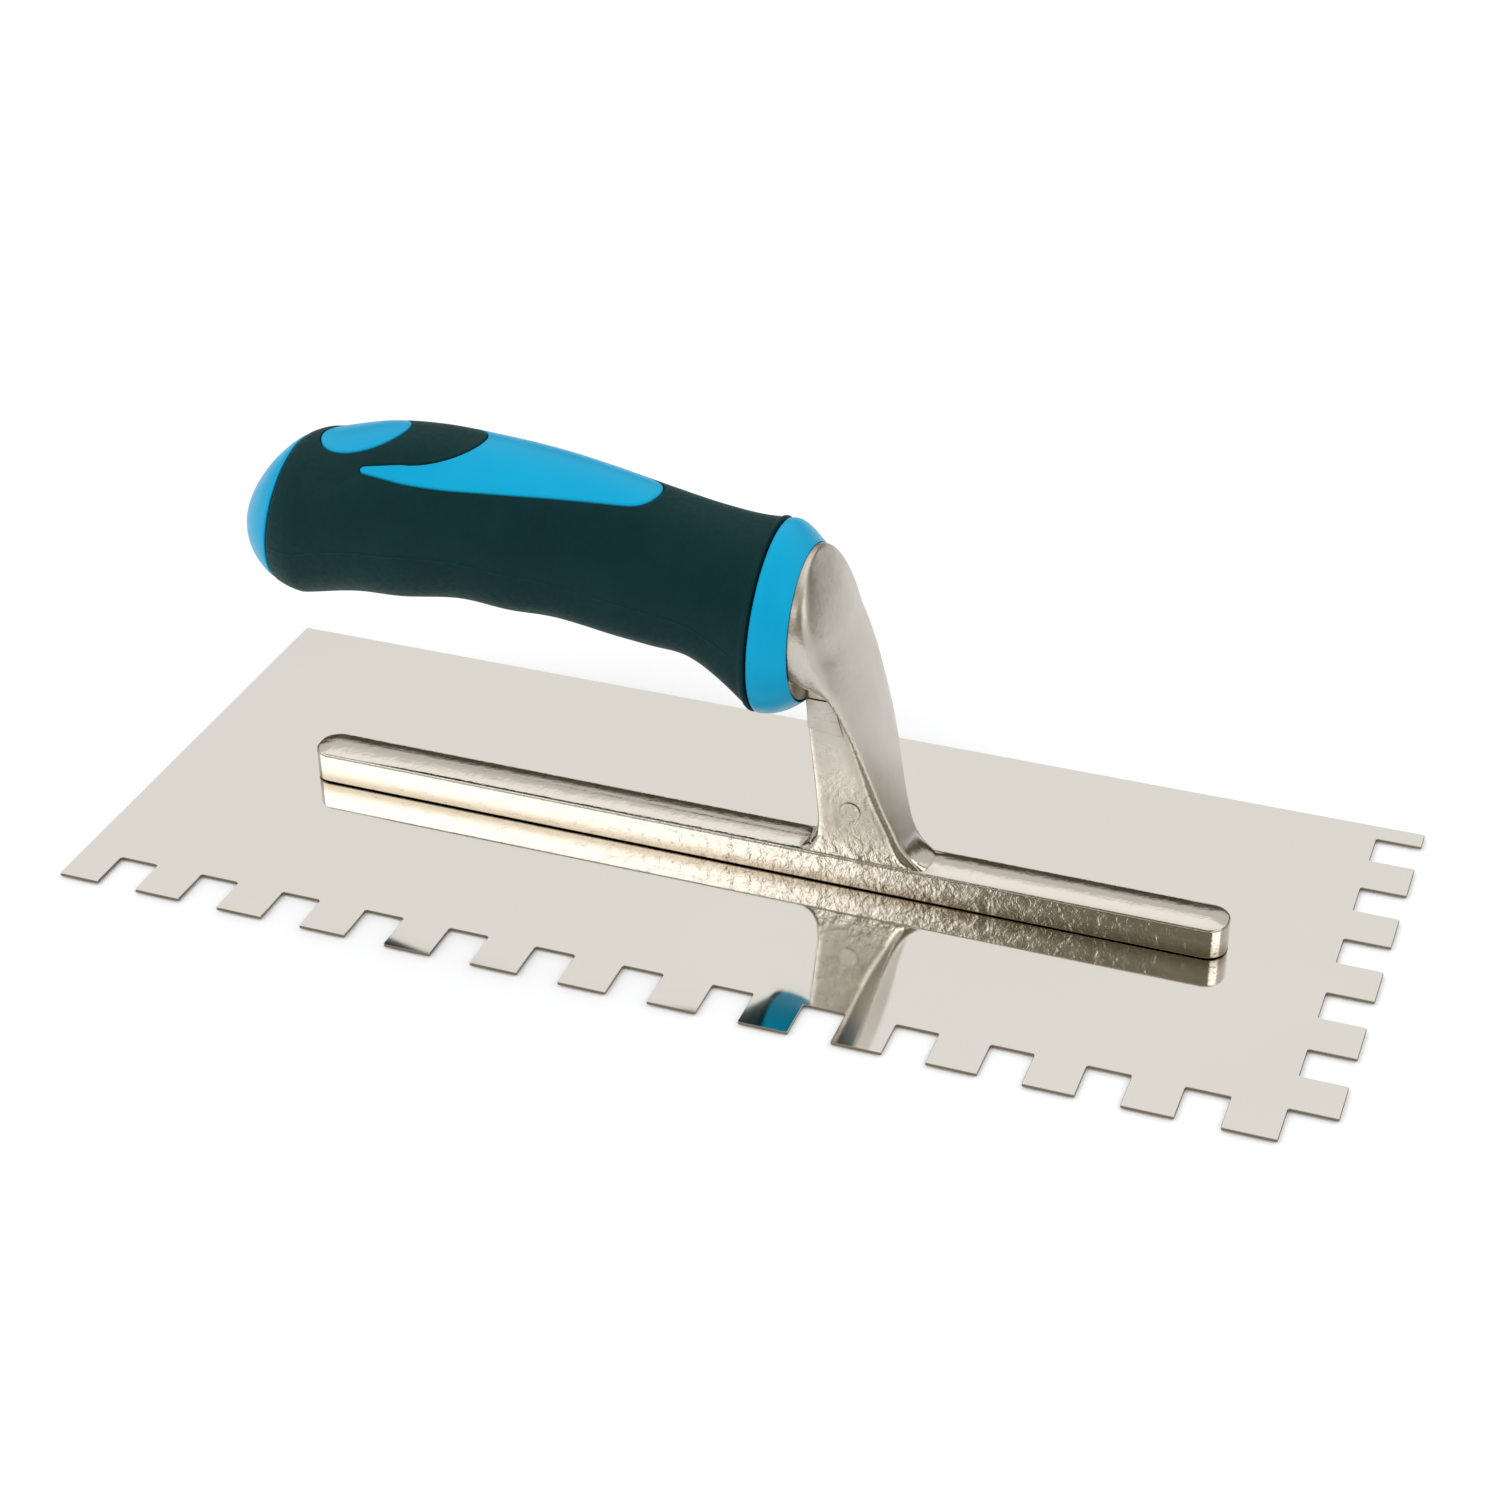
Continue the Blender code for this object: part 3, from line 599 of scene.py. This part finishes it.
def shank_piece():
    """Flange, mouth plug and web, joined and remeshed finely so that every inside corner is a cast fillet."""
    lower = np.linspace(FLANGE_FOOT_Z, DOME_CENTRE, 76)
    upper = DOME_CENTRE + (DOME_HALF_HEIGHT - 0.03) * np.sin(np.linspace(0, math.pi / 2, 46))[1:]
    shank = loft("shank", [flange_slice(z) for z in np.concatenate([lower, upper])])
    turns = even_turns(96)
    plug = [(MOUTH_X, 0.1), (13.9, 0.1), (14.5, 0.3), (14.9, 0.9)]
    rings = [oval(x, DOME_CENTRE, DOME_HALF_HEIGHT - inset, DOME_HALF_WIDTH - inset, turns)
             for x, inset in plug]
    merge(shank, loft("plug", rings))
    outline = resample(np.array(WEB_OUTLINE), 220)
    rings = []
    for inset, y in [(0.7, -WEB_HALF), (0.2, -WEB_HALF + 0.2), (0.0, -WEB_HALF + 0.8),
                     (0.0, WEB_HALF - 0.8), (0.2, WEB_HALF - 0.2), (0.7, WEB_HALF)]:
        ring = grown(outline, -inset)
        rings.append([(x, y * (1.1 - 0.0075 * (z - 8)), z) for x, z in ring])
    merge(shank, loft("web", rings))
    remesh = shank.modifiers.new("remesh", "REMESH")
    remesh.mode = "VOXEL"
    remesh.voxel_size = VOXEL * MM
    apply_modifiers(shank)
    smooth = shank.modifiers.new("smooth", "SMOOTH")
    smooth.factor = 0.5
    smooth.iterations = 4
    apply_modifiers(shank)
    return shank


def ejector_mark():
    """The low round mark that an ejector pin leaves on the web's near face."""
    place = Matrix.Translation(Vector((24.8, -4.1, 19.9)) * MM) @ Matrix.Rotation(math.pi / 2, 4, "X")
    return add_cone("ejector_mark", place, 2.5 * MM, 2.25 * MM, 0.7 * MM)


def mould_step():
    """The low step across the web's faces where two mould blocks met."""
    outline = np.array([(20.6, 46.0), (14.8, 46.0), (15.1, 39.0), (22.9, 38.2)])
    rings = []
    for grow, y in [(0.0, -3.75), (0.25, -3.5), (0.25, 3.5), (0.0, 3.75)]:
        rings.append([(x, y, z) for x, z in grown(outline, grow)])
    return loft("mould_step", rings)


def mount_piece():
    """The whole casting in one mesh: bar, shank and its two mould marks."""
    bar = bar_piece()
    cut(bar, shank_piece(), "UNION")
    cut(bar, ejector_mark(), "UNION")
    cut(bar, mould_step(), "UNION")
    bar.data.shade_smooth()
    bar.data.set_sharp_from_angle(angle=math.radians(50))
    return bar


# ---------------------------------------------------------------- materials


class Nodes:
    """A short way to build one Principled material."""

    def __init__(self, name):
        self.material = bpy.data.materials.new(name)
        self.material.use_nodes = True
        self.tree = self.material.node_tree
        self.shader = self.tree.nodes["Principled BSDF"]
        self.geometry = self.tree.nodes.new("ShaderNodeNewGeometry")
        self.place = self.tree.nodes.new("ShaderNodeTexCoord").outputs["Object"]

    def add(self, kind, **inputs):
        node = self.tree.nodes.new("ShaderNode" + kind)
        for key, value in inputs.items():
            self.feed(node, key, value)
        return node

    def feed(self, node, key, value):
        """Sets or links an input by its name, or by its number for a key such as i0."""
        numbered = key[0] == "i" and key[1:].isdigit()
        socket = node.inputs[int(key[1:])] if numbered else node.inputs[key.replace("_", " ")]
        if isinstance(value, bpy.types.NodeSocket):
            self.tree.links.new(value, socket)
        else:
            socket.default_value = value

    def noise(self, scale, detail=3.0, roughness=0.55, stretch=None, distortion=0.0):
        vector = self.place
        if stretch:
            mapping = self.add("Mapping", Vector=vector, Scale=stretch)
            vector = mapping.outputs["Vector"]
        node = self.add("TexNoise", Vector=vector, Scale=scale, Detail=detail, Roughness=roughness,
                        Distortion=distortion)
        return node.outputs["Fac"]

    def between(self, value, low, high, out_low, out_high, smooth=False):
        node = self.add("MapRange", Value=value)
        node.interpolation_type = "SMOOTHSTEP" if smooth else "LINEAR"
        node.clamp = True
        for key, number in (("From Min", low), ("From Max", high), ("To Min", out_low), ("To Max", out_high)):
            self.feed(node, key, number)
        return node.outputs["Result"]

    def mix(self, factor, a, b):
        node = self.tree.nodes.new("ShaderNodeMix")
        node.data_type = "RGBA"
        for socket, value in ((node.inputs[0], factor), (node.inputs[6], a), (node.inputs[7], b)):
            if isinstance(value, bpy.types.NodeSocket):
                self.tree.links.new(value, socket)
            else:
                socket.default_value = value
        return node.outputs[2]

    def bump(self, height, distance, strength=1.0, after=None):
        node = self.add("Bump", Height=height, Distance=distance, Strength=strength)
        if after is not None:
            self.feed(node, "Normal", after)
        return node.outputs["Normal"]

    def axis(self, name, source=None):
        split = self.add("SeparateXYZ", Vector=source or self.place)
        return split.outputs[name]

    def absolute(self, value):
        node = self.add("Math", i0=value)
        node.operation = "ABSOLUTE"
        return node.outputs[0]

    def set(self, **inputs):
        for key, value in inputs.items():
            self.feed(self.shader, key, value)
        return self.material


def stainless_material():
    n = Nodes("mirror_stainless")
    smear = n.noise(14.0, 3.0)
    scuff = n.noise(260.0, 4.0, 0.65, stretch=(0.12, 1.0, 1.0))
    wave = n.noise(9.0, 1.0)
    up = n.axis("Z", n.geometry.outputs["Normal"])
    # The sheet's upright edge faces get a dark brown painted shade and a rougher finish.
    edge = n.between(n.absolute(up), 0.35, 0.8, 1.0, 0.0)
    colour = n.mix(smear, SHEET_DARK, SHEET_LIGHT)
    colour = n.mix(edge, colour, SHEET_EDGE_SHADE)
    rough = n.between(scuff, 0.35, 0.75, 0.045, 0.085)
    rough_edge = n.add("Mix", i0=edge, i2=rough, i3=0.34)
    normal = n.bump(wave, 0.00006, 0.35)
    normal = n.bump(scuff, 0.0000015, 0.25, normal)
    return n.set(Base_Color=colour, Metallic=1.0, Roughness=rough_edge.outputs[0], Normal=normal)


def casting_material():
    n = Nodes("cast_aluminium_satin")
    height = n.axis("Z")
    shank = n.between(height, 0.009, 0.016, 0.0, 1.0, smooth=True)
    mottle = n.noise(180.0, 5.0, 0.6)
    speck = n.noise(1500.0, 3.0, 0.6)
    pits = n.noise(700.0, 2.0, 0.5)
    colour = n.mix(n.between(mottle, 0.3, 0.7, 0.0, 1.0), CASTING_DARK, CASTING_LIGHT)
    # Painted shade: ambient occlusion pulls the colour towards the brown tone in hollows and inside corners.
    ambient = n.tree.nodes.new("ShaderNodeAmbientOcclusion")
    ambient.inputs["Distance"].default_value = 0.004
    ambient.samples = 6
    hollow_shade = n.between(ambient.outputs["AO"], 0.45, 0.95, 1.0, 0.0)
    tint_and_hollow_shade = n.add("Math", i0=hollow_shade, i1=CASTING_TINT_SHARE)
    tint_and_hollow_shade.operation = "ADD"
    colour = n.mix(tint_and_hollow_shade.outputs[0], colour, CASTING_TINT_AND_SHADE)
    rough = n.between(mottle, 0.25, 0.75, 0.07, 0.15)
    rough_shank = n.between(mottle, 0.25, 0.75, 0.20, 0.34)
    sideways = n.absolute(n.axis("Y", n.geometry.outputs["Normal"]))
    satin = n.between(sideways, 0.8, 0.95, 0.10, 0.0, smooth=True)
    satin_added = n.add("Math", i0=rough_shank, i1=satin)
    satin_added.operation = "ADD"
    rough_shank = satin_added.outputs[0]
    roughness = n.add("Mix", i0=shank, i2=rough, i3=rough_shank)
    normal = n.bump(mottle, 0.00025, 0.35)
    normal = n.bump(n.noise(420.0, 4.0, 0.6, distortion=0.8), 0.00022, 0.30, normal)
    normal = n.bump(pits, 0.00010, 0.20, normal)
    normal = n.bump(speck, 0.00003, 0.20, normal)
    return n.set(Base_Color=colour, Metallic=1.0, Roughness=roughness.outputs[0], Normal=normal)


def blue_material():
    n = Nodes("blue_polypropylene")
    flow = n.noise(35.0, 3.0, 0.5)
    grain = n.noise(2600.0, 2.0, 0.5)
    colour = n.mix(n.between(flow, 0.3, 0.7, 0.0, 1.0), BLUE_DARK, BLUE_LIGHT)
    rough = n.between(n.noise(300.0, 3.0), 0.3, 0.7, 0.30, 0.40)
    normal = n.bump(grain, 0.00003, 0.25)
    return n.set(Base_Color=colour, Roughness=rough, Normal=normal, Specular_IOR_Level=0.2,
                 Specular_Tint=(0.3, 0.9, 1.0, 1))


def green_material():
    n = Nodes("dark_green_elastomer")
    cloud = n.noise(55.0, 4.0, 0.6)
    fine = n.noise(900.0, 3.0, 0.6)
    grain = n.noise(3200.0, 2.0, 0.5)
    colour = n.mix(n.between(cloud, 0.3, 0.7, 0.0, 1.0), GREEN_DARK, GREEN_LIGHT)
    rough = n.between(fine, 0.3, 0.7, 0.50, 0.66)
    normal = n.bump(fine, 0.00008, 0.18)
    normal = n.bump(grain, 0.00004, 0.35, normal)
    return n.set(Base_Color=colour, Roughness=rough, Normal=normal, Specular_IOR_Level=0.16,
                 Specular_Tint=(0.35, 0.95, 1.0, 1), Sheen_Weight=0.06, Sheen_Roughness=0.4,
                 Sheen_Tint=(0.1, 0.75, 0.7, 1))


def plain_metal_material(name, dark, light, rough_low, rough_high):
    n = Nodes(name)
    turning = n.noise(900.0, 3.0, 0.6, stretch=(1.0, 1.0, 4.0))
    colour = n.mix(turning, (*dark, 1), (*light, 1))
    rough = n.between(turning, 0.3, 0.7, rough_low, rough_high)
    normal = n.bump(turning, 0.00002, 0.3)
    return n.set(Base_Color=colour, Metallic=1.0, Roughness=rough, Normal=normal)


def floor_material():
    n = Nodes("pale_floor")
    tone = n.noise(3.0, 3.0)
    colour = n.mix(tone, (0.895, 0.895, 0.895, 1), (0.91, 0.91, 0.91, 1))
    return n.set(Base_Color=colour, Roughness=0.9, Specular_IOR_Level=0.1)


def give(obj, material):
    obj.data.materials.clear()
    obj.data.materials.append(material)


# ---------------------------------------------------------------- build the pieces


def place(obj, material, slot, *nodes):
    """Gives a piece its material and puts it on the one body, in place of the CAD nodes named."""
    give(obj, material)
    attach(obj, "root")
    if nodes:
        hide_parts(*nodes)


def build_object():
    blue = blue_material()
    place(blade_piece(), stainless_material(), "polished_stainless", "blade")
    place(mount_piece(), casting_material(), "cast_aluminium", "mount_casting")
    grip = grip_piece()
    for outline in (oval_island_outline(), swallow_tail_outline()):
        cut_window(grip, outline)
    soften(grip)
    place(grip, green_material(), "dark_green_rubber", "grip")
    core = core_piece()
    soften(core, 45)
    place(core, blue, "blue_plastic", "handle_core")
    oval_island = island_piece("oval_island", oval_island_outline(), OVAL_FLOOR_Z)
    place(oval_island, blue, "blue_plastic")
    swallow_tail = island_piece("swallow_tail_island", swallow_tail_outline(), SWALLOW_TAIL_FLOOR_Z)
    place(swallow_tail, blue, "blue_plastic")
    cap = cap_piece()
    soften(cap, 45)
    place(cap, blue, "blue_plastic", "end_cap")
    ground = plain_metal_material("ground_rivet", (0.66, 0.65, 0.63), (0.80, 0.79, 0.77), 0.25, 0.4)
    plated = plain_metal_material("zinc_plate", (0.55, 0.56, 0.58), (0.74, 0.74, 0.75), 0.18, 0.32)
    for i in range(1, 8):
        give(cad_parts[f"rivet_{i}"], ground)
    give(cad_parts["handle_screw"], plated)
    give(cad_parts["screw_washer"], plated)


# ---------------------------------------------------------------- studio


def add_floor():
    bm = bmesh.new()
    bmesh.ops.create_grid(bm, x_segments=1, y_segments=1, size=6.0)
    mesh = bpy.data.meshes.new("floor")
    bm.to_mesh(mesh)
    bm.free()
    floor = link_object("floor", mesh)
    floor.location.z = -FLOOR_DROP
    give(floor, floor_material())


def add_world():
    """White surroundings for light; for reflections, walls dark at the horizon and bright above."""
    world = bpy.data.worlds.new("studio")
    bpy.context.scene.world = world
    world.use_nodes = True
    tree = world.node_tree
    tree.nodes.clear()
    new = tree.nodes.new
    link = tree.links.new
    coordinate = new("ShaderNodeTexCoord")
    split = new("ShaderNodeSeparateXYZ")
    link(coordinate.outputs["Generated"], split.inputs[0])

    def wall(stops):
        node = new("ShaderNodeValToRGB")
        node.color_ramp.interpolation = "EASE"
        elements = node.color_ramp.elements
        while len(elements) < len(stops):
            elements.new(0.5)
        for element, (position, colour) in zip(elements, stops):
            element.position = position
            element.color = (*colour, 1)
        link(split.outputs["Z"], node.inputs[0])
        return node.outputs[0]

    def share(value, start, end):
        node = new("ShaderNodeMapRange")
        node.interpolation_type = "SMOOTHSTEP"
        link(value, node.inputs["Value"])
        node.inputs["From Min"].default_value = start
        node.inputs["From Max"].default_value = end
        return node.outputs[0]

    def blend(factor, a, b):
        node = new("ShaderNodeMix")
        node.data_type = "RGBA"
        link(factor, node.inputs[0])
        link(a, node.inputs[6])
        link(b, node.inputs[7])
        return node.outputs[2]

    across = new("ShaderNodeMath")
    across.operation = "MULTIPLY_ADD"
    link(split.outputs["Y"], across.inputs[0])
    across.inputs[1].default_value = LEFT_RIGHT_SLANT
    link(split.outputs["X"], across.inputs[2])
    front_left = wall(FRONT_LEFT_WALL)
    front = blend(share(across.outputs[0], -0.02, 0.04), front_left, wall(FRONT_RIGHT_WALL))
    front = blend(share(split.outputs["X"], 0.45, 0.6), front, front_left)
    around = blend(share(split.outputs["Y"], 0.05, -0.15), wall(BACK_WALL), front)
    path = new("ShaderNodeLightPath")
    mirror = new("ShaderNodeBackground")
    link(around, mirror.inputs["Color"])
    plain = new("ShaderNodeBackground")
    plain.inputs["Color"].default_value = (1.0, 1.0, 1.0, 1)
    plain.inputs["Strength"].default_value = PLAIN_LIGHT
    seen = new("ShaderNodeBackground")
    seen.inputs["Color"].default_value = (1.0, 1.0, 1.0, 1)
    choose_glossy = new("ShaderNodeMixShader")
    link(path.outputs["Is Glossy Ray"], choose_glossy.inputs[0])
    link(plain.outputs[0], choose_glossy.inputs[1])
    link(mirror.outputs[0], choose_glossy.inputs[2])
    choose_camera = new("ShaderNodeMixShader")
    link(path.outputs["Is Camera Ray"], choose_camera.inputs[0])
    link(choose_glossy.outputs[0], choose_camera.inputs[1])
    link(seen.outputs[0], choose_camera.inputs[2])
    output = new("ShaderNodeOutputWorld")
    link(choose_camera.outputs[0], output.inputs[0])


def add_softbox(name, place_at, aim, size, power):
    """An area light that reflections don't show, since the world's walls are what they show."""
    data = bpy.data.lights.new(name, "AREA")
    data.shape = "RECTANGLE"
    data.size, data.size_y = size
    data.energy = power
    light = bpy.data.objects.new(name, data)
    light.location = place_at
    light.rotation_euler = (Vector(aim) - Vector(place_at)).to_track_quat("-Z", "Y").to_euler()
    light.visible_glossy = False
    bpy.context.scene.collection.objects.link(light)


def add_camera():
    data = bpy.data.cameras.new("camera")
    data.sensor_width = 36.0
    data.lens = CAMERA_LENS
    data.shift_x = CAMERA_SHIFT
    data.clip_start = 0.01
    camera = bpy.data.objects.new("camera", data)
    azimuth = math.radians(CAMERA_AZIMUTH)
    elevation = math.radians(CAMERA_ELEVATION)
    level = math.cos(elevation)
    back = Vector((math.sin(azimuth) * level, -math.cos(azimuth) * level, math.sin(elevation)))
    camera.location = Vector(CAMERA_PLACE) * MM
    camera.rotation_mode = "QUATERNION"
    camera.rotation_quaternion = (-back).to_track_quat("-Z", "Y")
    bpy.context.scene.collection.objects.link(camera)
    bpy.context.scene.camera = camera


def build_studio():
    add_floor()
    add_world()
    add_softbox("key_softbox", (-0.5, -0.7, 1.1), (0, 0, 0.03), (1.0, 0.8), 3.2)
    add_softbox("rim_softbox", (0.9, 0.8, 0.9), (0, 0, 0.05), (0.8, 0.8), 1.4)
    add_camera()
    bpy.context.scene.view_settings.view_transform = "Standard"


build_object()
build_studio()
bpy.context.view_layer.update()
